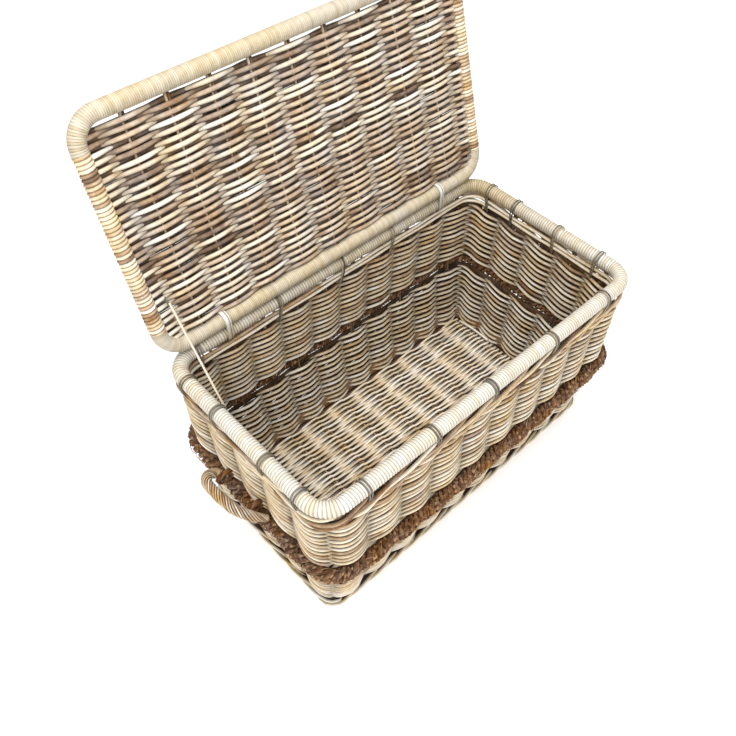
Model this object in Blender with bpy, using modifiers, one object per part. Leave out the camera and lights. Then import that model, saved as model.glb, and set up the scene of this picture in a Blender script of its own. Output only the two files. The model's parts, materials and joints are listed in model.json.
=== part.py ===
"""Wicker storage trunk with a hinged lid, two end handles and a lid stay.

Run with: blender --background --python part.py
Metres, +Z up, +X along the trunk, -Y to the front. The origin is the middle of the underside.
"""

from math import cos, radians, sin

import bmesh
import bpy
from mathutils import Matrix, Vector

# Driving dimensions
RIM_HALF_X = 0.3875  # middle of the rim bar, half the trunk's length
RIM_HALF_Y = 0.2035
RIM_Z = 0.389
RIM_CORNER = 0.043
BASE_HALF_X = 0.358  # middle of the wall where it leaves the floor
BASE_HALF_Y = 0.176
BASE_CORNER = 0.016  # corners round over as the wall rises
WAIST_Z = 0.177  # the rope runs round the wall at this height
WAIST_HALF_X = 0.379
WAIST_HALF_Y = 0.2045
LID_OPEN_DEG = 107.0  # how far the stay lets the lid open
STAKES_LONG = 10  # uprights in a long wall
STAKES_SHORT = 5
STAKE_PITCH = 0.0735
LID_STAKES = 9
LID_STAKE_STEP = 0.077

# Thicknesses and radii
GAP = 0.0003  # between pieces that touch
CORE_R = 0.009  # bent pole inside the rim and the lid's frame
BINDING_R = 0.014  # outside of the cane or weave wound round a pole
BINDING_TAIL = 0.004  # the lid's cane binding runs this far past each corner
STAKE_R = 0.004
LAYER_IN = STAKE_R + GAP  # where a woven layer starts, from the wall's middle
WALL_OUT = 0.0112  # outside of the outer woven layer, from the wall's middle
WALL_IN = 0.0104
LOWER_BAND = (0.0006, 0.161)
UPPER_BAND = (0.1935, 0.3715)
ROPE_R = 0.013
BORDER_R = 0.0038
FLOOR_SKIN = 0.0045  # each of the floor's two woven layers
FLOOR_STAKE = 0.0055
FLOOR_STAKES = 10
FLOOR_STAKE_STEP = 0.074
LID_SKIN = 0.005
STRAP = 0.0024  # thickness of a cane tie or hinge loop
STRAP_CLEAR = 0.0004
TIE_WIDTH = 0.008
TIE_DROP = 0.048  # a tie's legs reach this far below the rim's middle
LOOP_WIDTH = 0.013
HINGE_LOOP_X = 0.270
HANDLE_R = 0.0105
HANDLE_HALF_SPAN = 0.060
HANDLE_REACH = 0.042
HANDLE_MID_Y = 0.020
HANDLE_Z = 0.2085
HANDLE_RAISED_DEG = 35.0
HANDLE_STUB = 0.020
HANDLE_BEND = 0.016  # bend radius of the loop's corners
LASHING_R = 0.014
LASHING_WIDTH = 0.007
LASHING_CLEAR = 0.0006
LASHING_GAP = 0.006  # from a lashing to the loop's arm
STAY_R = 0.002
STAY_CLEAR = 0.0006
METAL_R = 0.0012
WIRE_BEND = 0.006  # radius of the ring and the staple

HINGE_Y = RIM_HALF_Y
HINGE_Z = RIM_Z + 2 * BINDING_R + STRAP + 3.5 * STRAP_CLEAR
LID_HALF_X = RIM_HALF_X
LID_DEPTH = 2 * RIM_HALF_Y  # hinge axis to the middle of the front bar

# Where the cane ties hold the rim, spaced by hand
TIES = {
    "front": (-0.304, -0.152, -0.012, 0.150, 0.302),
    "back": (-0.334, -0.155, 0.0, 0.134),
    "left": (-0.148, -0.064, 0.064, 0.150),
    "right": (-0.132, -0.029, 0.080, 0.150),
}

# Stay: where the ring sits on the lid and the staple on the left wall
STAY_X = -0.357
STAY_LID_S = 0.094
STAPLE = (-0.3715, 0.088, 0.362)

KUBU = ("kubu_weave", (0.60, 0.50, 0.37), 0.62, 0.0)
STAKE = ("rattan_stake", (0.34, 0.23, 0.14), 0.6, 0.0)
CANE = ("cane_binding", (0.80, 0.74, 0.62), 0.5, 0.0)
TIE = ("cane_tie", (0.40, 0.36, 0.30), 0.55, 0.0)
ROPE = ("banana_rope", (0.19, 0.10, 0.06), 0.8, 0.0)
TWIST = ("twisted_rattan", (0.66, 0.58, 0.44), 0.58, 0.0)
CORD = ("stay_cord", (0.68, 0.62, 0.50), 0.8, 0.0)
STEEL = ("steel_wire", (0.30, 0.30, 0.30), 0.4, 1.0)


def clear_scene():
    for item in list(bpy.data.objects):
        bpy.data.objects.remove(item, do_unlink=True)


def new_collection(name):
    made = bpy.data.collections.new(name)
    bpy.context.scene.collection.children.link(made)
    return made


def material(spec):
    name, colour, rough, metal = spec
    found = bpy.data.materials.get(name)
    if found:
        return found
    made = bpy.data.materials.new(name)
    made.use_nodes = True
    shader = made.node_tree.nodes["Principled BSDF"]
    shader.inputs["Base Color"].default_value = (*colour, 1.0)
    shader.inputs["Roughness"].default_value = rough
    shader.inputs["Metallic"].default_value = metal
    made.diffuse_color = (*colour, 1.0)
    return made


def add_object(name, data, spec, parent=None, home=None):
    made = bpy.data.objects.new(name, data)
    (home or trunk).objects.link(made)
    data.materials.append(material(spec))
    made.parent = parent
    return made


def add_empty(name, place, turn=(0.0, 0.0, 0.0)):
    made = bpy.data.objects.new(name, None)
    made.empty_display_size = 0.05
    made.location = place
    made.rotation_euler = turn
    trunk.objects.link(made)
    return made


def rounded_rectangle(half_x, half_y, radius, steps=4):
    """Corner points of a rounded rectangle, anticlockwise from the right end of the front side."""
    points = []
    corners = ((1, -1, -90), (1, 1, 0), (-1, 1, 90), (-1, -1, 180))
    for side_x, side_y, start in corners:
        centre = Vector((side_x * (half_x - radius), side_y * (half_y - radius)))
        for step in range(steps + 1):
            angle = radians(start + 90.0 * step / steps)
            points.append(centre + radius * Vector((cos(angle), sin(angle))))
    return points


def wall_half(z):
    """Half length, half width and corner radius of the wall's middle surface at height z."""
    if z < WAIST_Z:
        low, high, share = (BASE_HALF_X, BASE_HALF_Y), (WAIST_HALF_X, WAIST_HALF_Y), z / WAIST_Z
    else:
        low, high = (WAIST_HALF_X, WAIST_HALF_Y), (RIM_HALF_X, RIM_HALF_Y)
        share = (z - WAIST_Z) / (RIM_Z - WAIST_Z)
    half_x, half_y = (a + (b - a) * share for a, b in zip(low, high))
    return half_x, half_y, BASE_CORNER + (RIM_CORNER - BASE_CORNER) * z / RIM_Z


def wall_outline(z, out):
    """The wall's outline at height z, moved outwards by out."""
    half_x, half_y, radius = wall_half(z)
    return [
        Vector((p.x, p.y, z)) for p in rounded_rectangle(half_x + out, half_y + out, radius + out)
    ]


def band(name, levels, near, far, spec):
    """A woven wall layer: a closed ring between two heights and two distances from the middle."""
    low, high = levels
    loops = [
        wall_outline(low, far),
        wall_outline(high, far),
        wall_outline(high, near),
        wall_outline(low, near),
    ]
    shape = bmesh.new()
    rings = [[shape.verts.new(p) for p in loop] for loop in loops]
    count = len(rings[0])
    for ring, after in zip(rings, rings[1:] + rings[:1]):
        for i in range(count):
            j = (i + 1) % count
            shape.faces.new((ring[i], ring[j], after[j], after[i]))
    bmesh.ops.recalc_face_normals(shape, faces=shape.faces)
    mesh = bpy.data.meshes.new(name)
    shape.to_mesh(mesh)
    shape.free()
    return add_object(name, mesh, spec)


def tube(name, points, radius, spec, closed=False, sides=2, parent=None, home=None):
    """A pole, rope or cord: a curve through the points with a round bevel."""
    curve = bpy.data.curves.new(name, "CURVE")
    curve.dimensions = "3D"
    curve.bevel_depth = radius
    curve.bevel_resolution = sides
    curve.use_fill_caps = not closed
    spline = curve.splines.new("POLY")
    spline.points.add(len(points) - 1)
    for slot, point in zip(spline.points, points):
        slot.co = (*point, 1.0)
    spline.use_cyclic_u = closed
    return add_object(name, curve, spec, parent, home)


def sleeve(name, points, spec, parent=None):
    """Binding wound round a pole: an open tube thickened inwards to just clear the pole."""
    made = tube(name, points, BINDING_R, spec, sides=3, parent=parent)
    made.data.use_fill_caps = False
    wall = made.modifiers.new("binding_wall", "SOLIDIFY")
    wall.thickness = BINDING_R - CORE_R - 2 * GAP
    wall.offset = -1.0
    return made


def flat_piece(name, outlines, thickness, spec, parent=None):
    """A flat outline, with holes if more than one is given, made into a plate."""
    curve = bpy.data.curves.new(name, "CURVE")
    curve.dimensions = "2D"
    curve.fill_mode = "BOTH"
    curve.extrude = thickness / 2
    for outline in outlines:
        spline = curve.splines.new("POLY")
        spline.points.add(len(outline) - 1)
        for slot, point in zip(spline.points, outline):
            slot.co = (point[0], point[1], 0.0, 1.0)
        spline.use_cyclic_u = True
    return add_object(name, curve, spec, parent)


def to_mesh_object(item):
    """Replaces a curve object by a mesh object with welded caps."""
    bpy.context.view_layer.update()
    ready = item.evaluated_get(bpy.context.evaluated_depsgraph_get())
    mesh = bpy.data.meshes.new_from_object(ready)
    shape = bmesh.new()
    shape.from_mesh(mesh)
    bmesh.ops.remove_doubles(shape, verts=shape.verts, dist=0.00001)
    shape.to_mesh(mesh)
    shape.free()
    name, place, homes, parent = item.name, item.matrix_world.copy(), item.users_collection, item.parent
    bpy.data.objects.remove(item, do_unlink=True)
    made = bpy.data.objects.new(name, mesh)
    for home in homes:
        home.objects.link(made)
    made.parent = parent
    made.matrix_world = place
    return made


def arc_points(centre, radius, start, end, steps):
    """Points on an arc in a plane, angles in degrees."""
    angles = [radians(start + (end - start) * i / steps) for i in range(steps + 1)]
    return [(centre[0] + radius * cos(a), centre[1] + radius * sin(a)) for a in angles]


def floor():
    """Two woven floor layers with the floor's stakes between them."""
    half_x, half_y, radius = wall_half(0)
    inset = WALL_IN + 3 * GAP
    outline = rounded_rectangle(half_x - inset, half_y - inset, radius - inset)
    under = flat_piece("floor_weave_lower", [outline], FLOOR_SKIN, KUBU)
    under.location.z = FLOOR_SKIN / 2
    stakes_z = FLOOR_SKIN + GAP + FLOOR_STAKE / 2
    comb = flat_piece("floor_stakes", [floor_comb(half_y - inset)], FLOOR_STAKE, STAKE)
    comb.location.z = stakes_z
    over = flat_piece("floor_weave_upper", [outline], FLOOR_SKIN, KUBU)
    over.location.z = stakes_z + FLOOR_STAKE / 2 + GAP + FLOOR_SKIN / 2


def floor_comb(half_y):
    """Outline of the floor's cross stakes, joined by a rail along the back."""
    rail = 2.5 * STAKE_R
    reach = half_y - rail
    half_run = FLOOR_STAKE_STEP * (FLOOR_STAKES - 1) / 2
    points = [(half_run + STAKE_R, reach), (-half_run - STAKE_R, reach)]
    for i in range(FLOOR_STAKES):
        x = -half_run + i * FLOOR_STAKE_STEP
        points += [(x - STAKE_R, reach - rail), (x - STAKE_R, -reach)]
        points += [(x + STAKE_R, -reach), (x + STAKE_R, reach - rail)]
    return points[:2] + points[3:-1]


def wall_stakes():
    """One comb of uprights for each wall, standing on that wall's base pole."""
    walls = {
        "front": (0, -1, STAKES_LONG),
        "back": (0, 1, STAKES_LONG),
        "left": (-1, 0, STAKES_SHORT),
        "right": (1, 0, STAKES_SHORT),
    }
    for name, (side_x, side_y, count) in walls.items():
        normal = Vector((side_x, side_y, 0))
        along = Vector((abs(side_y), abs(side_x), 0))
        spread = RIM_HALF_X if side_y else RIM_HALF_Y
        low, waist, high = 0.010, WAIST_Z, UPPER_BAND[1] - 0.006

        def spot(u, z):
            half = wall_half(z)[1 if side_y else 0]
            return normal * half + along * u + Vector((0, 0, z))

        reach = STAKE_PITCH * (count - 1) / 2
        squeeze = (wall_half(0)[0 if side_y else 1] - RIM_CORNER) / (spread - RIM_CORNER)
        posts = new_collection(f"stakes_{name}")
        cutters.children.link(posts)
        bpy.context.scene.collection.children.unlink(posts)
        for i in range(count):
            u = -reach + i * STAKE_PITCH
            path = [spot(u * squeeze, low), spot(u, waist), spot(u, high)]
            post = to_mesh_object(tube(f"stake_{name}_{i}", path, STAKE_R, STAKE, home=posts))
            post.hide_render = True
            post.display_type = "WIRE"
        end = reach * squeeze + STAKE_R
        rail = tube(f"stakes_{name}_wall", [spot(-end, low), spot(end, low)], STAKE_R, STAKE)
        rail = to_mesh_object(rail)
        join = rail.modifiers.new("uprights", "BOOLEAN")
        join.operation = "UNION"
        join.operand_type = "COLLECTION"
        join.collection = posts
        join.solver = "EXACT"


def walls():
    """Outer and inner woven layers of the lower and upper bands, the rope and the foot border."""
    band("lower_weave_outer", LOWER_BAND, LAYER_IN, WALL_OUT, KUBU)
    band("lower_weave_inner", LOWER_BAND, -WALL_IN, -LAYER_IN, KUBU)
    band("upper_weave_outer", UPPER_BAND, LAYER_IN, WALL_OUT, KUBU)
    band("upper_weave_inner", UPPER_BAND, -WALL_IN, -LAYER_IN, KUBU)
    rope_out = STAKE_R + ROPE_R + 2 * GAP
    tube("rope_band", wall_outline(WAIST_Z, rope_out), ROPE_R, ROPE, closed=True, sides=3)
    border_out = WALL_OUT + BORDER_R + 4 * GAP
    border_z = BORDER_R + GAP
    tube("foot_border", wall_outline(border_z, border_out), BORDER_R, KUBU, closed=True, sides=2)


def rim():
    """The bent rim pole and its cane binding, in two lengths that meet at the ends."""
    outline = rounded_rectangle(RIM_HALF_X, RIM_HALF_Y, RIM_CORNER)
    ring = [Vector((p.x, p.y, RIM_Z)) for p in outline]
    tube("rim_pole", ring, CORE_R, STAKE, closed=True, sides=2)
    middle = len(ring) // 4
    butt = Vector((0, GAP, 0))
    right, left = Vector((RIM_HALF_X, 0, RIM_Z)), Vector((-RIM_HALF_X, 0, RIM_Z))
    back = [right + butt] + ring[middle : 3 * middle] + [left + butt]
    front = [left - butt] + ring[3 * middle :] + ring[:middle] + [right - butt]
    sleeve("rim_binding_back", back, CANE)
    sleeve("rim_binding_front", front, CANE)


def ties():
    """Cane ties: straps over the rim with a leg down each side of the wall."""
    inner = BINDING_R + STRAP_CLEAR
    outer = inner + STRAP
    outline = [(outer, -TIE_DROP)] + arc_points((0, 0), outer, 0, 180, 10) + [(-outer, -TIE_DROP)]
    outline += [(-inner, -TIE_DROP)] + arc_points((0, 0), inner, 180, 0, 10) + [(inner, -TIE_DROP)]
    frames = {
        "front": (lambda u: (u, -RIM_HALF_Y, RIM_Z), 90.0),
        "back": (lambda u: (u, RIM_HALF_Y, RIM_Z), 90.0),
        "left": (lambda u: (-RIM_HALF_X, u, RIM_Z), 0.0),
        "right": (lambda u: (RIM_HALF_X, u, RIM_Z), 0.0),
    }
    for side, (place, heading) in frames.items():
        for i, u in enumerate(TIES[side], start=1):
            strap = flat_piece(f"rim_tie_{side}_{i}", [outline], TIE_WIDTH, TIE)
            strap.rotation_euler = (radians(90), 0, radians(heading))
            strap.location = place(u)


def hinge_loops():
    """Cane loops that hold the lid's back bar to the back of the rim and let it turn."""
    inner = BINDING_R + STRAP_CLEAR
    outer = inner + STRAP
    rise = HINGE_Z - RIM_Z
    for side, x in (("left", -HINGE_LOOP_X), ("right", HINGE_LOOP_X)):
        outlines = [
            arc_points((0, rise), r, 0, 180, 10) + arc_points((0, 0), r, 180, 360, 10)
            for r in (outer, inner)
        ]
        loop = flat_piece(f"hinge_loop_{side}", outlines, LOOP_WIDTH, CANE)
        loop.rotation_euler = (radians(90), 0, radians(90))
        loop.location = (x, RIM_HALF_Y, RIM_Z)


def lid():
    """The lid, drawn closed with its hinge axis at the pivot's origin, then opened."""
    pivot = add_empty("lid_pivot", (0, HINGE_Y, HINGE_Z), (-radians(LID_OPEN_DEG), 0, 0))
    middle = -LID_DEPTH / 2
    outline = rounded_rectangle(LID_HALF_X, LID_DEPTH / 2, RIM_CORNER)
    ring = [Vector((p.x, p.y + middle, 0)) for p in outline]
    tube("lid_frame_pole", ring, CORE_R, STAKE, closed=True, sides=2, parent=pivot)
    quarter = len(ring) // 4
    side_end = LID_DEPTH / 2 - RIM_CORNER
    trim = Vector((0, BINDING_TAIL, 0))
    back = [ring[quarter] - trim] + ring[quarter : 3 * quarter] + [ring[3 * quarter - 1] - trim]
    front = [ring[3 * quarter] + trim] + ring[3 * quarter :] + ring[:quarter]
    front += [ring[quarter - 1] + trim]
    sleeve("lid_back_binding", back, CANE, pivot)
    sleeve("lid_front_binding", front, CANE, pivot)
    for side, sign in (("left", -1), ("right", 1)):
        reach = side_end - BINDING_TAIL - 2 * GAP
        ends = [Vector((sign * LID_HALF_X, middle + y, 0)) for y in (reach, -reach)]
        sleeve(f"lid_edge_roll_{side}", ends, KUBU, pivot)
    lid_panel(pivot, middle)
    return pivot


def lid_panel(pivot, middle):
    """The lid's stakes, hinge to front, between the outer and inner woven layers."""
    reach = BINDING_R + STRAP + 5 * STRAP_CLEAR  # leaves room for the hinge loops
    half_x, half_y = LID_HALF_X - BINDING_R - 2 * GAP, LID_DEPTH / 2 - reach
    outline = rounded_rectangle(half_x, half_y, RIM_CORNER - BINDING_R)
    layer = STAKE_R + GAP + LID_SKIN / 2
    for name, z in (("lid_weave_outer", layer), ("lid_weave_inner", -layer)):
        sheet = flat_piece(name, [outline], LID_SKIN, KUBU, pivot)
        sheet.location = (0, middle, z)
    stop = BINDING_R + 3 * GAP
    for i in range(LID_STAKES):
        x = (i - (LID_STAKES - 1) / 2) * LID_STAKE_STEP
        path = [Vector((x, -stop, 0)), Vector((x, stop - LID_DEPTH, 0))]
        tube(f"lid_stake_{i + 1}", path, STAKE_R, STAKE, parent=pivot)


def handles():
    """Twisted loops whose ends turn in cane and rope lashings on the end walls."""
    for side, sign in (("left", -1), ("right", 1)):
        pivot_x = wall_half(HANDLE_Z)[0] + WALL_OUT + LASHING_R + 3 * GAP
        pivot = add_empty(f"handle_pivot_{side}", (sign * pivot_x, HANDLE_MID_Y, HANDLE_Z))
        pivot.rotation_euler.y = -sign * radians(HANDLE_RAISED_DEG)
        span, reach, bend = HANDLE_HALF_SPAN, HANDLE_REACH, HANDLE_BEND
        half = [(0.0, span - HANDLE_STUB), (0.0, span - bend / 2)]
        half += arc_points((bend / 2, span - bend / 2), bend / 2, 180, 90, 3)[1:]
        half += arc_points((reach - bend, span - bend), bend, 90, 0, 4)
        path = [Vector((sign * a, b, 0)) for a, b in half]
        path += [Vector((sign * a, -b, 0)) for a, b in reversed(half)]
        tube(f"handle_{side}", path, HANDLE_R, TWIST, parent=pivot)
        for end, turn in (("front", -1), ("back", 1)):
            radii = (LASHING_R, HANDLE_R + LASHING_CLEAR)
            rings = [arc_points((0, 0), r, 0, 345, 23) for r in radii]
            name = f"handle_lashing_{side}_{end}"
            lashing = flat_piece(name, rings, LASHING_WIDTH, ROPE)
            lashing.rotation_euler.x = radians(90)
            centre = HANDLE_MID_Y + turn * (span - HANDLE_R - LASHING_GAP)
            lashing.location = (sign * pivot_x, centre, HANDLE_Z)


def stay(pivot):
    """The cord that stops the lid, its wire ring on the lid and its staple on the left wall."""
    foot = STAKE_R + GAP + LID_SKIN + GAP + METAL_R
    half_turn = arc_points((0, 0), WIRE_BEND, 0, 180, 8)
    ring = [Vector((STAY_X, -STAY_LID_S + a, -foot - b)) for a, b in half_turn]
    tube("stay_ring", ring, METAL_R, STEEL, parent=pivot)
    staple = [Vector((STAPLE[0] + b, STAPLE[1], STAPLE[2] + a)) for a, b in half_turn]
    tube("stay_staple", staple, METAL_R, STEEL)
    opened = Matrix.Rotation(-radians(LID_OPEN_DEG), 4, "X")
    clear = WIRE_BEND + METAL_R + STAY_R + STAY_CLEAR
    hang = Vector((STAY_X, -STAY_LID_S, -foot - clear))
    start = opened @ hang + Vector((0, HINGE_Y, HINGE_Z))
    end = Vector(STAPLE) + Vector((clear, 0, 0))
    tube("stay_cord", [start.lerp(end, i / 12) for i in range(13)], STAY_R, CORD)


clear_scene()
trunk = new_collection("wicker_storage_trunk")
cutters = new_collection("joined_uprights")
floor()
walls()
wall_stakes()
rim()
ties()
hinge_loops()
stay(lid())
handles()
bpy.context.view_layer.update()
print("trunk:", len([o for o in trunk.objects if o.type != "EMPTY"]), "parts")
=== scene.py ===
# Wicker storage trunk: twined kubu walls, a rope band, a cane-bound rim, a plain-woven lid on
# a cord stay and twisted handles. Metres, +X along the trunk, -Y to the front, +Z up.
import json
from math import cos, pi, radians, sin

import bpy
import numpy as np
from mathutils import Matrix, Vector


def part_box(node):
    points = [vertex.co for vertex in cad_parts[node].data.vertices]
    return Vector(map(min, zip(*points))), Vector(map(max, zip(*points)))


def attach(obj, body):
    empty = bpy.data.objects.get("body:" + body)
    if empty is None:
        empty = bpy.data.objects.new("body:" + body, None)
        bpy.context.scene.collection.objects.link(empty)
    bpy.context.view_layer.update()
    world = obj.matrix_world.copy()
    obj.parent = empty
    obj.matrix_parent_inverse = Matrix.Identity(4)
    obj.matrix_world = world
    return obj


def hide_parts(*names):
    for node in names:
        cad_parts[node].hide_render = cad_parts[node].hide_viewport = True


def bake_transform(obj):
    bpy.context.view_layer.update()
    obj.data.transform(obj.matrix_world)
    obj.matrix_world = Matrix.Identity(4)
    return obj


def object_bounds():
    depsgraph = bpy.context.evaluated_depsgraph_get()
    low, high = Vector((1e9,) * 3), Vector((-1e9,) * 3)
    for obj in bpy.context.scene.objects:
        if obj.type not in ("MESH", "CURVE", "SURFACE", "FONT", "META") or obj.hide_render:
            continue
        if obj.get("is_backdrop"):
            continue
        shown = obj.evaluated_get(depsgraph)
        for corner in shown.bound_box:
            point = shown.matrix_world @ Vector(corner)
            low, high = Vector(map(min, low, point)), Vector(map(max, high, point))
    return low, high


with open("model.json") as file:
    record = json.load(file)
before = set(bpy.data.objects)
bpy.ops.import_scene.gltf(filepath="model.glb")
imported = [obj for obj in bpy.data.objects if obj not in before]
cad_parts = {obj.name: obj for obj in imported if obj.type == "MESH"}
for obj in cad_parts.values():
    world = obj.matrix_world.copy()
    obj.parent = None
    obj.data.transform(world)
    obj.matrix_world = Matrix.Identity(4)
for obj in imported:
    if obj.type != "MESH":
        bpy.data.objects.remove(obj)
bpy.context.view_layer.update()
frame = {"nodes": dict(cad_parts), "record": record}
rng = np.random.default_rng(11)
joints = {joint["name"]: joint for joint in frame["record"]["behaviour"]["joints"]}
up = np.array([0.0, 0.0, 1.0])

# camera, floor and light
cameraSetup = {
    "place": (-0.7332, -0.6644, 1.4411),
    "yaw": 43.234,  # degrees from +Y towards +X
    "pitch": 50.455,  # below the horizon
    "roll": 0.775,
    "lens": 38.48,
}
studio = {
    "floorSize": 30.0,
    "floorColour": "#FAFAF9",
    "floorRough": 0.9,
    "skyColour": "#FFFFFF",
    "skyPower": 0.50,
    "lights": (  # name, place, size and power
        ("keyLight", (-2.2, -0.9, 2.6), 1.3, 34.0),
        ("fillLight", (-0.3, -0.3, 3.2), 3.0, 155.0),  # the softbox overhead
        ("frontLight", (-1.5, -2.5, 1.1), 2.0, 36.0),  # low in front
    ),
    "aim": (0.0, 0.0, 0.25),
}


def linear(code):
    # sRGB hex to linear light
    parts = [int(code[i : i + 2], 16) / 255 for i in (1, 3, 5)]
    return tuple(p / 12.92 if p <= 0.04045 else ((p + 0.055) / 1.055) ** 2.4 for p in parts) + (1,)


def addNode(tree, kind, inputs, **settings):
    made = tree.nodes.new("ShaderNode" + kind)
    for key, value in settings.items():
        setattr(made, key, value)
    for key, value in inputs.items():
        if isinstance(value, bpy.types.NodeSocket):
            tree.links.new(value, made.inputs[key])
        else:
            made.inputs[key].default_value = value
    return made


def setCamera(look):
    yaw, pitch, roll = (radians(look[key]) for key in ("yaw", "pitch", "roll"))
    ahead = np.array([sin(yaw) * cos(pitch), cos(yaw) * cos(pitch), -sin(pitch)])
    right = np.array([cos(yaw), -sin(yaw), 0.0])
    above = np.cross(right, ahead)
    turned = (cos(roll) * right + sin(roll) * above, cos(roll) * above - sin(roll) * right, -ahead)
    data = bpy.data.cameras.new("camera")
    data.lens = look["lens"]
    data.sensor_width = 36.0
    camera = bpy.data.objects.new("camera", data)
    camera.matrix_world = Matrix.Translation(look["place"]) @ Matrix(turned).transposed().to_4x4()
    bpy.context.scene.collection.objects.link(camera)
    bpy.context.scene.camera = camera


def addLight(name, place, size, power):
    data = bpy.data.lights.new(name, "AREA")
    data.size = size
    data.energy = power
    light = bpy.data.objects.new(name, data)
    back = np.array(place) - np.array(studio["aim"])
    back /= np.linalg.norm(back)
    right = np.cross(up, back)
    right /= np.linalg.norm(right)
    turned = Matrix((right, np.cross(back, right), back)).transposed().to_4x4()
    light.matrix_world = Matrix.Translation(place) @ turned
    bpy.context.scene.collection.objects.link(light)


def setStudio():
    half = studio["floorSize"] / 2
    mesh = bpy.data.meshes.new("studioFloor")
    corners = [(-half, -half, 0), (half, -half, 0), (half, half, 0), (-half, half, 0)]
    mesh.from_pydata(corners, [], [(0, 1, 2, 3)])
    paper = bpy.data.materials.new("whiteStudioPaper")
    paper.use_nodes = True
    shader = paper.node_tree.nodes["Principled BSDF"]
    shader.inputs["Base Color"].default_value = linear(studio["floorColour"])
    shader.inputs["Roughness"].default_value = studio["floorRough"]
    mesh.materials.append(paper)
    ground = bpy.data.objects.new("studioFloor", mesh)
    bpy.context.scene.collection.objects.link(ground)
    ground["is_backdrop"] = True
    world = bpy.data.worlds.new("studio")
    world.use_nodes = True
    sky = world.node_tree.nodes["Background"]
    sky.inputs["Color"].default_value = linear(studio["skyColour"])
    sky.inputs["Strength"].default_value = studio["skyPower"]
    bpy.context.scene.world = world
    for light in studio["lights"]:
        addLight(*light)
    bpy.context.scene.view_settings.view_transform = "Standard"


setCamera(cameraSetup)
setStudio()
print("camera, floor and light ready")

# materials
# Every strand carries two attributes: tone picks its colour, crease is painted shade where strands touch and
# cross.
# Its UV map is in metres, along the strand and round it, so grain keeps its real size.
strandLooks = {
    # kubu, the dried outside of a palm vine: matte, grained along its length, grey to whitish
    "kubuStrand": {
        "colours": ("#2E1F14", "#785B41", "#AC9070", "#D2BF9F", "#E4DBCB"),
        "rough": 0.62, "shine": 0.18, "bump": 0.0005,
        "grainAlong": 0.030, "grainAcross": 0.0012, "grainTone": 0.34,
        "patchSize": 0.013, "patchTone": 0.50,
        "greySize": 0.040, "greySpread": 1.3, "greyBase": 0.33,
    },
    # rattan pole with its skin on: smoother and browner
    "rattanPole": {
        "colours": ("#2E1E14", "#553C29", "#7C6248", "#A08A70", "#C6B59C"),
        "rough": 0.5, "shine": 0.3, "bump": 0.0003,
        "grainAlong": 0.040, "grainAcross": 0.0015, "grainTone": 0.2,
        "patchSize": 0.05, "patchTone": 0.2,
        "greySize": 0.06, "greySpread": 1.2, "greyBase": 0.4,
    },
    # split cane, the shiny skin of the vine, bleached or left grey
    "splitCane": {
        "colours": ("#4A433A", "#7D705A", "#A6977A", "#BBB09B", "#C8C5BD"),
        "rough": 0.42, "shine": 0.25, "bump": 0.0002,
        "grainAlong": 0.020, "grainAcross": 0.0010, "grainTone": 0.14,
        "patchSize": 0.025, "patchTone": 0.16,
        "greySize": 0.1, "greySpread": 1.4, "greyBase": 0.2,
    },
    # banana bark rope: dark, dry and stringy
    "bananaRope": {
        "colours": ("#22130B", "#523420", "#7C583B", "#A8825B", "#D0B48D"),
        "rough": 0.85, "shine": 0.08, "bump": 0.0012,
        "grainAlong": 0.012, "grainAcross": 0.0008, "grainTone": 0.75,
        "patchSize": 0.012, "patchTone": 0.4,
        "greySize": 0.03, "greySpread": 1.0, "greyBase": 0.45,
    },
    # twisted cotton cord, off-white
    "cottonCord": {
        "colours": ("#9A8A70", "#B7A88C", "#CFC2A8", "#DDD2BC", "#EAE2D0"),
        "rough": 0.85, "shine": 0.1, "bump": 0.0004,
        "grainAlong": 0.004, "grainAcross": 0.0008, "grainTone": 0.3,
        "patchSize": 0.02, "patchTone": 0.2,
        "greySize": 0.05, "greySpread": 0.6, "greyBase": 0.7,
    },
}
strandLooks["bleachedKubuStrand"] = dict(strandLooks["kubuStrand"], greyBase=0.12)
creaseDepth = 0.93  # share of the light lost in the deepest crease
bumpStrength = 0.6


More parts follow.
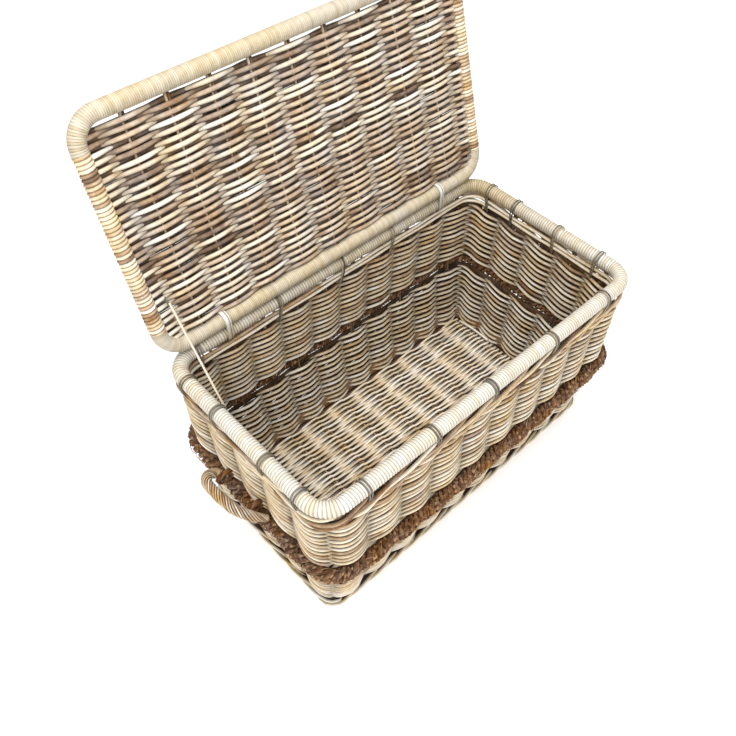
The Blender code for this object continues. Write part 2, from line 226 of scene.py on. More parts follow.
def strandMaterial(name, look):
    made = bpy.data.materials.new(name)
    made.use_nodes = True
    tree = made.node_tree
    shader = tree.nodes["Principled BSDF"]
    spot = addNode(tree, "UVMap", {}).outputs["UV"]
    place = addNode(tree, "TexCoord", {}).outputs["Object"]
    tone = addNode(tree, "Attribute", {}, attribute_name="tone").outputs["Fac"]
    crease = addNode(tree, "Attribute", {}, attribute_name="crease").outputs["Fac"]
    # grain: noise drawn out along the strand
    size = (1 / look["grainAlong"], 1 / look["grainAcross"], 1.0)
    drawn = addNode(tree, "Mapping", {"Vector": spot, "Scale": size}).outputs["Vector"]
    noise = {"Vector": drawn, "Scale": 1.0, "Detail": 4.0, "Roughness": 0.65}
    grain = addNode(tree, "TexNoise", noise).outputs["Fac"]
    noise = {"Vector": place, "Scale": 1 / look["patchSize"], "Detail": 3.0, "Roughness": 0.6}
    patch = addNode(tree, "TexNoise", noise).outputs["Fac"]
    # colour place = tone + grain and patches, each about their own middle
    shift = {0: grain, 1: look["grainTone"], 2: tone}
    total = addNode(tree, "Math", shift, operation="MULTIPLY_ADD").outputs[0]
    shift = {0: patch, 1: look["patchTone"], 2: total}
    total = addNode(tree, "Math", shift, operation="MULTIPLY_ADD").outputs[0]
    middle = (look["grainTone"] + look["patchTone"]) / 2
    total = addNode(tree, "Math", {0: total, 1: middle}, operation="SUBTRACT").outputs[0]
    ramp = addNode(tree, "ValToRGB", {"Fac": total})
    stops = ramp.color_ramp.elements
    for share in np.linspace(0, 1, len(look["colours"]))[1:-1]:
        stops.new(share)
    for stop, code in zip(stops, look["colours"]):
        stop.color = linear(code)
    # some lengths are bleached grey, others tanned: saturation runs over a wider noise
    noise = {"Vector": place, "Scale": 1 / look["greySize"], "Detail": 2.0, "Roughness": 0.5}
    spread = {0: addNode(tree, "TexNoise", noise).outputs["Fac"], 1: look["greySpread"], 2: look["greyBase"]}
    strength = addNode(tree, "Math", spread, operation="MULTIPLY_ADD").outputs[0]
    tinted = {"Color": ramp.outputs["Color"], "Saturation": strength}
    tinted = addNode(tree, "HueSaturation", tinted).outputs["Color"]
    # painted shade: the colour is scaled down where crease is high
    dim = addNode(tree, "Math", {0: crease, 1: -creaseDepth, 2: 1.0}, operation="MULTIPLY_ADD")
    dark = {"Vector": tinted, "Scale": dim.outputs[0]}
    colour = addNode(tree, "VectorMath", dark, operation="SCALE").outputs["Vector"]
    tree.links.new(colour, shader.inputs["Base Color"])
    shader.inputs["Roughness"].default_value = look["rough"]
    shader.inputs["Specular IOR Level"].default_value = look["shine"]
    raised = {"Height": grain, "Strength": bumpStrength, "Distance": look["bump"]}
    tree.links.new(addNode(tree, "Bump", raised).outputs["Normal"], shader.inputs["Normal"])
    return made


finishes = {name: strandMaterial(name, look) for name, look in strandLooks.items()}


def steelMaterial():
    # drawn steel wire, dulled: metallic with a little tarnish in patches of 2.5 mm
    made = bpy.data.materials.new("dulledSteelWire")
    made.use_nodes = True
    tree = made.node_tree
    shader = tree.nodes["Principled BSDF"]
    place = addNode(tree, "TexCoord", {}).outputs["Object"]
    noise = {"Vector": place, "Scale": 400.0, "Detail": 3.0}
    patch = addNode(tree, "TexNoise", noise).outputs["Fac"]
    ramp = addNode(tree, "ValToRGB", {"Fac": patch})
    ramp.color_ramp.elements[0].color = linear("#4A443D")
    ramp.color_ramp.elements[1].color = linear("#9A968F")
    tree.links.new(ramp.outputs["Color"], shader.inputs["Base Color"])
    shader.inputs["Metallic"].default_value = 1.0
    shader.inputs["Roughness"].default_value = 0.45
    return made


finishes["dulledSteelWire"] = steelMaterial()
print("materials ready:", ", ".join(finishes))


# strand surfaces
def unit(vectors):
    return vectors / np.linalg.norm(vectors, axis=-1, keepdims=True)


def tubes(path, out, thick, wide=None, sides=8, loop=False, tone=0.5, crease=0.0, edge=0.55):
    # point(strand, ring, a) = path + thick cos(a) out + wide sin(a) side, side = tangent x out;
    # edge paints shade on the two sides that lie against the neighbours, and with no wide they are round
    path = np.asarray(path, float)
    wide = thick if wide is None else wide
    if loop:
        ahead = unit(np.roll(path, -1, 1) - np.roll(path, 1, 1))
    else:
        ahead = unit(np.gradient(path, axis=1))
    out = np.broadcast_to(out, path.shape)
    out = unit(out - ahead * np.sum(out * ahead, 2, keepdims=True))
    side = np.cross(ahead, out)
    angle = 2 * pi * np.arange(sides) / sides
    shape = path.shape[:2]
    thick = np.broadcast_to(thick, shape)[..., None, None]
    wide = np.broadcast_to(wide, shape)[..., None, None]
    points = path[:, :, None] + thick * np.cos(angle)[:, None] * out[:, :, None]
    points = points + wide * np.sin(angle)[:, None] * side[:, :, None]
    tone = np.asarray(tone, float)
    tone = tone[..., None] if tone.ndim == 2 else tone
    crease = np.asarray(crease, float)
    crease = crease[..., None] if crease.ndim == 2 else crease
    edge = np.asarray(edge, float)
    edge = edge[..., None] if edge.ndim == 2 else edge
    crease = np.clip(crease + edge * np.abs(np.sin(angle)) ** 3, 0, 1)
    steps = np.roll(path, -1, 1) - path
    steps = np.linalg.norm(steps if loop else steps[:, :-1], axis=2)
    along = np.concatenate([np.zeros((len(path), 1)), np.cumsum(steps, 1)], 1)
    return {
        "points": points,
        "loop": loop,
        "along": along + rng.uniform(0, 9, (len(path), 1)),
        "girth": 2 * pi * float(np.mean(thick) + np.mean(wide)) / 2,
        "tone": np.broadcast_to(tone, points.shape[:3]),
        "crease": np.broadcast_to(crease, points.shape[:3]),
    }


def quadsOf(strands, rings, sides, loop):
    # corner numbers of every quad, ring by ring, on the first strand and then shifted
    i, j = np.meshgrid(np.arange(rings if loop else rings - 1), np.arange(sides), indexing="ij")
    after, beside = (i + 1) % rings, (j + 1) % sides
    quad = np.stack([i * sides + j, i * sides + beside, after * sides + beside, after * sides + j], -1)
    shift = (np.arange(strands) * rings * sides)[:, None, None]
    return quad.reshape(1, -1, 4) + shift, i.ravel(), j.ravel()


def addPiece(name, groups, finish, body, stands=(), shape=None):
    verts, loops, sizes, uvs, tones, creases = [], [], [], [], [], []
    base = 0
    for group in groups:
        strands, rings, sides = group["points"].shape[:3]
        quads, i, j = quadsOf(strands, rings, sides, group["loop"])
        u = np.stack([group["along"][:, i + k] for k in (0, 0, 1, 1)], -1)
        v = np.stack([(j + k) / sides for k in (0, 1, 1, 0)], -1) * group["girth"]
        uvs.append(np.stack([u, np.broadcast_to(v, u.shape)], -1).reshape(-1, 2))
        loops.append(quads.ravel() + base)
        sizes.append(np.full(quads.shape[0] * quads.shape[1], 4))
        if not group["loop"]:
            first = (np.arange(strands) * rings * sides)[:, None] + np.arange(sides)[::-1]
            last = (np.arange(strands) * rings * sides)[:, None] + np.arange(sides)
            caps = np.concatenate([first, last + (rings - 1) * sides]) + base
            loops.append(caps.ravel())
            sizes.append(np.full(2 * strands, sides))
            uvs.append(np.tile(group["along"][0, :1], (caps.size, 2)))
        verts.append(group["points"].reshape(-1, 3))
        tones.append(group["tone"].ravel())
        creases.append(group["crease"].ravel())
        base += verts[-1].shape[0]
    verts = np.concatenate(verts)
    if shape:
        verts = shape(verts)
    loops, sizes = np.concatenate(loops), np.concatenate(sizes)
    mesh = bpy.data.meshes.new(name)
    mesh.vertices.add(len(verts))
    mesh.vertices.foreach_set("co", verts.astype(np.float32).ravel())
    mesh.loops.add(len(loops))
    mesh.loops.foreach_set("vertex_index", loops.astype(np.int32))
    mesh.polygons.add(len(sizes))
    starts = np.concatenate([[0], np.cumsum(sizes)[:-1]])
    mesh.polygons.foreach_set("loop_start", starts.astype(np.int32))
    mesh.polygons.foreach_set("loop_total", sizes.astype(np.int32))
    mesh.update(calc_edges=True)
    mesh.polygons.foreach_set("use_smooth", sizes == 4)
    mesh.uv_layers.new(name="strand").data.foreach_set("uv", np.concatenate(uvs).ravel())
    for label, values in (("tone", tones), ("crease", creases)):
        layer = mesh.attributes.new(label, "FLOAT", "POINT")
        layer.data.foreach_set("value", np.concatenate(values).astype(np.float32))
    mesh.materials.append(finishes[finish])
    piece = bpy.data.objects.new(name, mesh)
    bpy.context.scene.collection.objects.link(piece)
    if body:
        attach(piece, body)
    if stands:
        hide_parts(*stands)
    print(f"{name}: {int(np.sum(sizes - 2))} triangles")
    return piece


def spaced(points, step, loop=False):
    # the same path at even steps along its length
    points = np.asarray(points, float)
    if loop:
        points = np.concatenate([points, points[:1]])
    run = np.concatenate([[0], np.cumsum(np.linalg.norm(np.diff(points, axis=0), axis=1))])
    count = max(int(round(run[-1] / step)), 2)
    marks = np.linspace(0, run[-1], count + 1)
    if loop:
        marks = marks[:-1]
    return np.stack([np.interp(marks, run, points[:, k]) for k in range(points.shape[1])], 1)


def softened(points, step, blur):
    # a path through the points at even steps, its corners rounded over about twice blur
    path = spaced(points, step)
    reach = max(int(blur / step), 1)
    ends = [np.repeat(path[:1], reach, 0), path, np.repeat(path[-1:], reach, 0)]
    weights = np.hanning(2 * reach + 3)[1:-1]
    weights /= weights.sum()
    padded = np.concatenate(ends)
    return np.stack([np.convolve(padded[:, k], weights, "valid") for k in range(3)], 1)


def roundedLoop(halfX, halfY, radius, step):
    # a rounded rectangle from the middle of its front side, anticlockwise
    points = [[(0.0, -halfY)]]
    for sideX, sideY, start in ((1, -1, -90), (1, 1, 0), (-1, 1, 90), (-1, -1, 180)):
        angle = np.radians(start + np.linspace(0, 90, 25))
        centre = np.array([sideX * (halfX - radius), sideY * (halfY - radius)])
        points.append(centre + radius * np.stack([np.cos(angle), np.sin(angle)], 1))
    return spaced(np.concatenate(points), step, loop=True)


def wound(path, out, radius, ridge, pitch, power, sides, loop, tone, shade=0.75):
    # radius at (ring, a) = radius - ridge |2f - 1|^power, f = fraction(length / pitch - a / 2pi),
    # so one strand winds round the pole; tone(turn) gives each turn its colour
    rings = len(path)
    step = np.linalg.norm(path[1] - path[0])
    total = rings * step if loop else (rings - 1) * step
    turns = round(total / pitch) if loop else total / pitch
    length = np.arange(rings) / (rings if loop else rings - 1) * turns
    angle = 2 * pi * np.arange(sides) / sides
    place = length[:, None] - np.arange(sides)[None] / sides
    part = place - np.floor(place)
    turn = np.floor(place).astype(int) % max(int(turns), 1)
    dip = np.abs(2 * part - 1) ** power
    group = tubes(path[None], out, 1.0, 1.0, sides, loop)
    spoke = group["points"][0] - path[:, None]
    group["points"] = (path[:, None] + spoke * (radius - ridge * dip)[..., None])[None]
    group["girth"] = 2 * pi * radius
    group["tone"] = tone(turn, path)[None] if callable(tone) else tone
    group["crease"] = (shade * dip**1.5)[None]
    return group


# the wall's middle surface
# Bays are counted anticlockwise from the front left corner: 10 front, 5 right, 10 back, 5 left.
wallShape = {
    "corner": 0.043,  # at the rim
    "waistCorner": 0.044,
    "footCorner": 0.016,
    "ropeToMiddle": 0.0306,  # from the rope's outside to the wall's middle
    "footToMiddle": 0.0200,
    "rimToMiddle": 0.0090,
    "bow": 0.005,  # how far the long walls belly out at mid length
    "bays": (10, 5, 10, 5),
}
foot, waist, rim = (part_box(name)[1] for name in ("foot_border", "rope_band", "rim_pole"))
foot = np.array(foot) - wallShape["footToMiddle"]
waist = np.array(waist) - wallShape["ropeToMiddle"]
rim = np.array(rim) - wallShape["rimToMiddle"]
waistZ = (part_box("rope_band")[0][2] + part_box("rope_band")[1][2]) / 2
rimZ = (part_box("rim_pole")[0][2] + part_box("rim_pole")[1][2]) / 2
bayTotal = sum(wallShape["bays"])


def wallPoint(bay, z):
    # straight sides joined by quarter arcs; half sizes run linearly foot to waist to rim
    bay, z = np.broadcast_arrays(np.mod(bay, bayTotal), z)
    heights = (0.0, waistZ, rimZ)
    halfX = np.interp(z, heights, (foot[0], waist[0], rim[0]))
    halfY = np.interp(z, heights, (foot[1], waist[1], rim[1]))
    starts = np.cumsum((0,) + wallShape["bays"])
    side = np.searchsorted(starts[1:4], bay, side="right")
    share = (bay - starts[side]) / np.array(wallShape["bays"])[side] - 0.5
    isLong = side % 2 == 0
    rounding = (wallShape["footCorner"], wallShape["waistCorner"], wallShape["corner"])
    corner = np.interp(z, heights, rounding)
    straight = np.where(isLong, halfX, halfY) - corner
    reach = np.where(isLong, halfY, halfX)
    run = share * (2 * straight + corner * pi / 2)
    turn = np.clip(np.abs(run) - straight, 0, None) / corner
    swell = wallShape["bow"] * np.interp(z, heights, (0.3, 1, 0)) * (1 - (2 * share) ** 2)
    a = np.sign(run) * (np.minimum(np.abs(run), straight) + corner * np.sin(turn))
    b = reach - corner * (1 - np.cos(turn)) + swell * isLong
    na, nb = np.sign(run) * np.sin(turn), np.cos(turn)
    alongX, alongY = np.array([1, 0, -1, 0])[side], np.array([0, 1, 0, -1])[side]
    outX, outY = np.array([0, 1, 0, -1])[side], np.array([-1, 0, 1, 0])[side]
    point = np.stack([a * alongX + b * outX, a * alongY + b * outY, z], -1)
    normal = np.stack([na * alongX + nb * outX, na * alongY + nb * outY, np.zeros_like(z)], -1)
    return point, normal


def bayMarks(samples):
    # places round the whole wall, so many to a bay
    return np.arange(bayTotal * samples) / samples


def weaveCrease(swing, sides, cusp, hidden):
    # shade at the crossings, and on the face of a strand that looks into the weave
    angle = 2 * pi * np.arange(sides) / sides
    inward = np.clip(-swing[..., None] * np.cos(angle), 0, 1)
    return cusp * (1 - np.abs(swing[..., None])) ** 2 + hidden * inward


def joinedTones(strands, bays, middle, spread, piece=9):
    # each strand is pieced from lengths of vine of about piece bays, every one its own colour
    table = np.clip(rng.normal(middle, spread, (strands, 2 * bayTotal)), 0.02, 1.0)
    start = rng.uniform(0, piece, (strands, 1))
    index = ((bays[None] + start) // piece).astype(int)
    return np.take_along_axis(table, index, 1)


def smoothNoise(strands, bays, spread):
    # a few sines per strand that close on themselves round the wall, about spread high
    total = np.zeros((strands, len(bays)))
    for harmonic in (3, 5, 8, 13):
        phase = rng.uniform(0, 2 * pi, (strands, 1))
        total += np.sin(2 * pi * harmonic * bays[None] / bayTotal + phase)
    return total * spread / 3


# walls
upperWall = {
    "firstRow": 0.2020,
    "rows": 11,
    "pitch": 0.0133,
    "outside": 0.0082,  # how far a strand stands out at the middle of a bay
    "inside": 0.0076,
    "rise": 0.0033,  # half the drop of a strand across its bay
    "part": 0.75,  # the smaller, the shorter the gap between strands at a stake
    "thick": 0.0031,
    "wide": 0.0033,
    "cornerSwell": 1.2,
    "samples": 12,  # rings in a bay
    "uneven": 0.0009,
    "thickSpread": 0.07,
    "crossingCrease": 0.45,
    "hiddenCrease": 0.85,
    "tone": 0.68,
    "toneSpread": 0.12,
    "fillSwing": 0.0018,  # near-black strands between the rows: painted shade filling the gaps
    "fillThick": 0.0012,
    "fillWide": 0.0095,
    "fillTone": 0.16,
    "fillCrease": 0.45,
    "footLift": 0.0,
    "footFade": 0.020,
}
# the lower wall's first rows arch up between the stakes, leaving dark notches
lowerWall = dict(upperWall, firstRow=0.0125, rows=12, wide=0.0030, tone=0.78, footLift=0.008)


def footArch(look, rows, bays):
    # how far a row lifts between the stakes: most for the lowest, fading with height
    lift = look["footLift"] * np.exp(-(rows - look["firstRow"]) / look["footFade"])
    return lift * (1 - np.abs(np.sin(pi * bays))[None] ** 0.8)


def twinedRows(look):
    # a pair of strands per row: out = +-A sin(pi bay), height = row +- rise cos(pi bay)^part
    bays = bayMarks(look["samples"])
    rows = look["firstRow"] + look["pitch"] * np.arange(look["rows"])
    rows = np.repeat(rows, 2)[:, None]
    sign = np.tile([1.0, -1.0], look["rows"])[:, None]
    swing = sign * np.sin(pi * bays)[None]
    strands = len(rows)
    whole = np.floor(bays).astype(int)
    starts = np.cumsum((0,) + wallShape["bays"])
    atCorner = np.isin(whole, np.concatenate([starts[:4], starts[1:] - 1]))
    swell = np.where(atCorner, look["cornerSwell"], 1.0)[None]
    swell = swell * np.take(rng.normal(1, look["thickSpread"], (strands, bayTotal)), whole, axis=1)
    out = swing * np.where(swing > 0, look["outside"], look["inside"]) * swell
    slide = np.cos(pi * bays)
    slide = np.sign(slide) * np.abs(slide) ** look["part"]
    high = rows + sign * look["rise"] * slide[None]
    high = high + smoothNoise(strands, bays, look["uneven"])
    point, normal = wallPoint(bays[None], high + footArch(look, rows, bays))
    path = point + out[..., None] * normal
    scale = 1 + smoothNoise(strands, bays, look["thickSpread"])
    flat = 1 + 0.12 * np.abs(swing)
    tone = joinedTones(strands, bays, look["tone"], look["toneSpread"])
    crease = weaveCrease(swing, 8, look["crossingCrease"], look["hiddenCrease"])
    thick, wide = look["thick"] * scale, look["wide"] * scale * flat
    return tubes(path, normal, thick, wide, 8, True, tone, crease)


def shadeFillStrands(look):
    # one near-black strand between two rows, before one stake and behind the next: painted shade in the gap
    bays = bayMarks(6)
    rows = look["firstRow"] + look["pitch"] * (np.arange(look["rows"] + 1) - 0.5)[:, None]
    rows = np.maximum(rows, look["firstRow"])
    sign = np.where(np.arange(len(rows)) % 2, 1.0, -1.0)[:, None]
    high = rows + smoothNoise(len(rows), bays, 0.0006)
    point, normal = wallPoint(bays[None], high + footArch(look, rows, bays))
    path = point + (sign * look["fillSwing"] * np.sin(pi * bays)[None])[..., None] * normal
    tone = joinedTones(len(rows), bays, look["fillTone"], 0.06)
    return tubes(path, normal, look["fillThick"], look["fillWide"], 8, True, tone, look["fillCrease"])


addPiece("upperWeave", [twinedRows(upperWall), shadeFillStrands(upperWall)], "kubuStrand", "base",
         ("upper_weave_outer", "upper_weave_inner"))
addPiece("lowerWeave", [twinedRows(lowerWall), shadeFillStrands(lowerWall)], "kubuStrand", "base",
         ("lower_weave_outer", "lower_weave_inner"))

border = {
    "low": 0.336,
    "high": 0.3690,
    "bays": 2.7,  # how many bays one strand crosses as it climbs
    "out": 0.0105,
    "radius": 0.0039,
    "tone": 0.62,
    "toneSpread": 0.14,
    "innerZ": (0.3665, 0.3560),
    "innerOut": 0.0075,
    "innerTone": 0.85,
}


def borderStrands():
    # each stake's end is bent down into the border: height climbs evenly across the bays
    climb = np.linspace(0, 1, 40)
    start = np.arange(bayTotal)[:, None] + 0.45 + rng.uniform(-0.12, 0.12, (bayTotal, 1))
    bay = start + border["bays"] * climb[None]
    high = border["low"] + (border["high"] - border["low"]) * climb[None] ** 0.9
    high = high + rng.uniform(-0.002, 0.002, (bayTotal, 1))
    point, normal = wallPoint(bay, high)
    rise = np.clip(climb / 0.14, 0, 1) * np.clip((1 - climb) / 0.12, 0, 1)
    out = (border["out"] + 0.0016 * np.sin(4 * pi * climb)) * np.sqrt(rise) - 0.001
    path = point + out[None, :, None] * normal
    tone = rng.normal(border["tone"], border["toneSpread"], (bayTotal, 1))
    tone = np.clip(tone, 0, 1) + 0 * climb[None]
    group = tubes(path, normal, border["radius"] * 0.9, border["radius"], tone=tone)
    # long pale strands under the rim on the inside
    bays = bayMarks(8)
    level = np.array(border["innerZ"])[:, None] + 0.0012 * np.sin(2 * pi * bays[None] * 0.5 + [[0], [2]])
    point, normal = wallPoint(bays[None], level)
    path = point - border["innerOut"] * normal
    tone = joinedTones(2, bays, border["innerTone"], 0.12)
    inner = tubes(path, normal, 0.0030, 0.0036, loop=True, tone=tone)
    return [group, inner]


addPiece("borderWeave", borderStrands(), "kubuStrand", "base")

wallStakes = {"radius": 0.0025, "apart": 0.0027, "low": 0.006, "high": 0.384, "tone": 0.30}


def stakeStrands():
    # two thin rattans side by side in the middle of every bay, from the floor to the rim
    levels = np.linspace(wallStakes["low"], wallStakes["high"], 14)
    bay = np.arange(bayTotal)[:, None] + 0.5
    point, normal = wallPoint(bay, levels[None])
    across = np.cross(up, normal)
    sets = []
    for shift in (-wallStakes["apart"], wallStakes["apart"]):
        tone = rng.normal(wallStakes["tone"], 0.12, (bayTotal, 1)) + 0 * levels[None]
        path = point + shift * across
        sets.append(tubes(path, normal, wallStakes["radius"], tone=tone))
    return sets


addPiece("wallStakes", stakeStrands(), "rattanPole", "base",
         ("stakes_front_wall", "stakes_back_wall", "stakes_left_wall", "stakes_right_wall"))

rope = {
    "out": 0.0130,
    "lump": 0.0022,  # the rope dips between stakes
    "strands": 4,
    "strandOrbit": 0.0080,
    "strandTurns": 44,
    "yarns": 5,
    "yarnOrbit": 0.0042,
    "yarnTurns": 130,
    "yarnRadius": 0.0030,
    "tone": 0.47,
    "toneSpread": 0.13,
    "hairs": 900,
    "hairRadius": 0.0005,
    "hairTone": 0.58,
    "samples": 22,  # rings in a bay
}


def ropeStrands():
    # a helix on a helix: yarns wind round their strand while the strands wind round the rope
    bays = bayMarks(rope["samples"])
    share = bays / bayTotal
    point, normal = wallPoint(bays, waistZ + 0 * bays)
    centre = point + (rope["out"] + rope["lump"] * np.cos(2 * pi * bays))[:, None] * normal
    paths, tones = [], []
    for strand in range(rope["strands"]):
        turn = 2 * pi * (rope["strandTurns"] * share + strand / rope["strands"])
        swing = np.cos(turn)[:, None] * normal + np.sin(turn)[:, None] * up
        for yarn in range(rope["yarns"]):
            twist = 2 * pi * (rope["yarnTurns"] * share + yarn / rope["yarns"]) + turn
            small = np.cos(twist)[:, None] * normal + np.sin(twist)[:, None] * up
            paths.append(centre + rope["strandOrbit"] * swing + rope["yarnOrbit"] * small)
            tones.append(np.full(len(bays), rng.normal(rope["tone"], rope["toneSpread"])))
    paths, tones = np.array(paths), np.array(tones) + smoothNoise(len(paths), bays, 0.15)
    laid = tubes(paths, normal[None] + 0 * paths, rope["yarnRadius"], None, 5, True, tones)
    # stray fibres: short arcs that lift a little off the rope, at random places and slants
    share = np.linspace(0, 1, 4)[None]
    count = (rope["hairs"], 1)
    bay = rng.uniform(0, bayTotal, count) + share * rng.uniform(0.08, 0.25, count)
    turn = rng.uniform(-1.9, 1.9, count) + share * rng.uniform(-1.2, 1.2, count)
    point, normal = wallPoint(bay, waistZ + 0 * bay)
    lift = rope["strandOrbit"] + rope["yarnOrbit"] + rope["yarnRadius"] * (0.4 + 0.8 * np.sin(pi * share))
    away = np.cos(turn)[..., None] * normal + np.sin(turn)[..., None] * up
    path = point + rope["out"] * normal + lift[..., None] * away
    tone = np.clip(rng.normal(rope["hairTone"], 0.16, count), 0, 1) + 0 * share
    hairs = tubes(path, away, rope["hairRadius"], sides=4, tone=tone)
    return [laid, hairs]


addPiece("waistRope", ropeStrands(), "bananaRope", "base", ("rope_band",))

footBorder = {
    "strands": 3,
    "turns": 15,  # whole turns round the trunk
    "out": 0.0118,
    "swing": 0.0040,
    "z": 0.0050,
    "rise": 0.0020,
    "radius": 0.0028,
    "tone": 0.80,
    # edge paints shade on the strands' sides where they touch
    "edge": 0.7,
}


def footStrands():
    # strands laid round each other: out = middle + swing cos(turn), z = middle + rise sin(turn)
    bays = bayMarks(10)
    share = np.arange(footBorder["strands"])[:, None] / footBorder["strands"]
    turn = 2 * pi * (footBorder["turns"] * bays[None] / bayTotal + share)
    point, normal = wallPoint(bays[None], footBorder["z"] + footBorder["rise"] * np.sin(turn))
    path = point + (footBorder["out"] + footBorder["swing"] * np.cos(turn))[..., None] * normal
    tone = joinedTones(len(share), bays, footBorder["tone"], 0.1, 6)
    return [tubes(path, normal, footBorder["radius"], loop=True, tone=tone, edge=footBorder["edge"])]


addPiece("footBorder", footStrands(), "kubuStrand", "base", ("foot_border",))
print("walls ready")

# floor
floorWeave = {
    "bay": 0.074,
    "pitch": 0.0113,
    "rise": 0.0042,
    "shift": 0.0028,
    "part": 0.35,
    "thick": 0.0026,
    "wide": 0.0030,
    "fillWide": 0.0036,  # near-black strands below the stakes, between the rows: painted shade in the gaps
    "fillTone": 0.14,
    "fillCrease": 0.5,
    "jitter": 0.035,  # how far a row's crossings wander, in bays
    "tone": 0.80,
    "toneSpread": 0.10,
    "stakeRadius": 0.0023,
    "stakeApart": 0.0026,
    "stakeTone": 0.50,
}
floorLow, floorHigh = (np.array(corner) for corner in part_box("floor_weave_lower"))
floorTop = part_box("floor_weave_upper")[1][2]


def floorStrands():
    # pairs along X: height = middle +- rise sin(pi bay), y = row +- shift cos(pi bay)^part
    middle = (floorLow[2] + floorTop) / 2
    along = np.linspace(floorLow[0] - 0.001, floorHigh[0] + 0.001, 150)
    count = int((floorHigh[1] - floorLow[1] + 0.004) / floorWeave["pitch"]) + 1
    rows = (np.arange(count) - (count - 1) / 2) * floorWeave["pitch"]
    rows = np.repeat(rows, 2)[:, None]
    sign = np.tile([1.0, -1.0], count)[:, None]
    bays = along[None] / floorWeave["bay"] + np.repeat(rng.normal(0, floorWeave["jitter"], count), 2)[:, None]
    swing = sign * np.sin(pi * bays)
    slide = np.cos(pi * bays)
    slide = np.sign(slide) * np.abs(slide) ** floorWeave["part"]
    y = rows + sign * floorWeave["shift"] * slide
    y = y + rng.normal(0, 0.0005, (len(rows), 1))
    z = middle + floorWeave["rise"] * swing
    path = np.stack([along[None] + 0 * y, y, z], -1)
    laid = along / floorWeave["bay"] + 10
    tone = joinedTones(len(rows), laid, floorWeave["tone"], floorWeave["toneSpread"], 7)
    # painted shade at the crossings, on the hidden faces and along the strand sides
    crease = weaveCrease(swing, 8, 0.0, 1.0)
    edge = 0.25 + 0.5 * np.abs(swing)
    pairs = tubes(path, up, floorWeave["thick"], floorWeave["wide"], 8, False, tone, crease, edge)
    # a near-black layer under the rows: painted shade seen between them
    rows = (np.arange(count + 1) - count / 2)[:, None] * floorWeave["pitch"]
    rows = np.clip(rows, floorLow[1], floorHigh[1])
    path = np.stack(np.broadcast_arrays(along[None, ::3], rows, middle - floorWeave["rise"]), -1)
    tone = rng.normal(floorWeave["fillTone"], 0.05, rows.shape) + 0 * along[None, ::3]
    shadeLayer = tubes(path, up, 0.0018, floorWeave["fillWide"], 8, False, tone, floorWeave["fillCrease"])
    return [pairs, shadeLayer]


def floorStakes():
    middle = (floorLow[2] + floorTop) / 2
    stops = (np.arange(-5, 5) + 0.5) * floorWeave["bay"]
    pairs = np.concatenate([stops - floorWeave["stakeApart"], stops + floorWeave["stakeApart"]])
    y = np.linspace(floorLow[1] + 0.004, floorHigh[1] - 0.004, 4)
    path = np.stack(np.broadcast_arrays(pairs[:, None], y[None], middle), -1)
    tone = rng.normal(floorWeave["stakeTone"], 0.12, (len(pairs), 1)) + 0 * y[None]
    return tubes(path, up, floorWeave["stakeRadius"], tone=tone)


addPiece("floorWeave", floorStrands(), "kubuStrand", "base",
         ("floor_weave_lower", "floor_weave_upper"))
addPiece("floorStakes", [floorStakes()], "rattanPole", "base", ("floor_stakes",))

basePoles = {
    "levels": (0.0045, 0.0050, 0.0060, 0.0115, 0.0190, 0.0265, 0.0340),
    "out": (0.0085, 0.0020, -0.0078, -0.0010, -0.0015, -0.0015, -0.0015),
    "radius": 0.0041,
    # the two lowest poles are near-black: painted shade in the notches at the foot
    "tones": (0.02, 0.02, 0.25, 0.30, 0.50, 0.50, 0.50),
}


def basePoleStrands():
    # rattan poles stacked round the foot inside the wall, which close its notches; the two lowest are
    # near-black, painted shade in the notches
    bays = bayMarks(6)
    levels = np.array(basePoles["levels"])[:, None] + 0.0006 * np.sin(2 * pi * bays[None] / 5)
    point, normal = wallPoint(bays[None], levels)
    path = point + np.array(basePoles["out"])[:, None, None] * normal
    tone = np.array(basePoles["tones"])[:, None] + 0 * bays[None]
    return tubes(path, normal, basePoles["radius"], loop=True, tone=tone)


addPiece("basePoles", [basePoleStrands()], "rattanPole", "base")

# a pale strand that has come loose along the floor's right edge
looseEnds = {"from": (0.341, 0.150, 0.0185), "to": (0.343, 0.060, 0.0200), "rise": 0.004, "radius": 0.0028}
run = np.linspace(0, 1, 12)[:, None]
path = np.array(looseEnds["from"]) * (1 - run) + np.array(looseEnds["to"]) * run
path = path + looseEnds["rise"] * up * np.sin(pi * run)
group = tubes(path[None], up, looseEnds["radius"], tone=0.98)
addPiece("looseEnd", [group], "kubuStrand", "base")
print("floor ready")

# rim
rimWrap = {"radius": 0.0142, "ridge": 0.0018, "pitch": 0.0056, "step": 0.0009, "sides": 20}


def rimTone(turn, path):
    # paler along the front and left, darker and yellower towards the back right corner
    table = np.clip(rng.normal(0, 0.06, turn.max() + 1), -0.2, 0.2)
    warm = np.clip(0.55 + path[:, 1] / 0.45, 0, 1) * (0.8 + path[:, 0])
    return np.clip(0.88 - 0.28 * warm[:, None] + table[turn], 0, 1)


loopXY = roundedLoop(rim[0], rim[1], wallShape["corner"], rimWrap["step"])
rimPath = np.concatenate([loopXY, np.full((len(loopXY), 1), rimZ)], 1)
group = wound(rimPath, up, rimWrap["radius"], rimWrap["ridge"], rimWrap["pitch"], 2.2,
              rimWrap["sides"], True, rimTone)
addPiece("rimBinding", [group], "splitCane", "base",
         ("rim_binding_back", "rim_binding_front"))

ties = {"radius": 0.0014, "apart": 0.0030, "clear": 0.0158, "leg": 0.048, "tone": 0.20, "lean": 0.10}
sideFacing = {"front": (0, -1, 0), "back": (0, 1, 0), "left": (-1, 0, 0), "right": (1, 0, 0)}
tieNodes = sorted(node for node in frame["nodes"] if node.startswith("rim_tie_"))


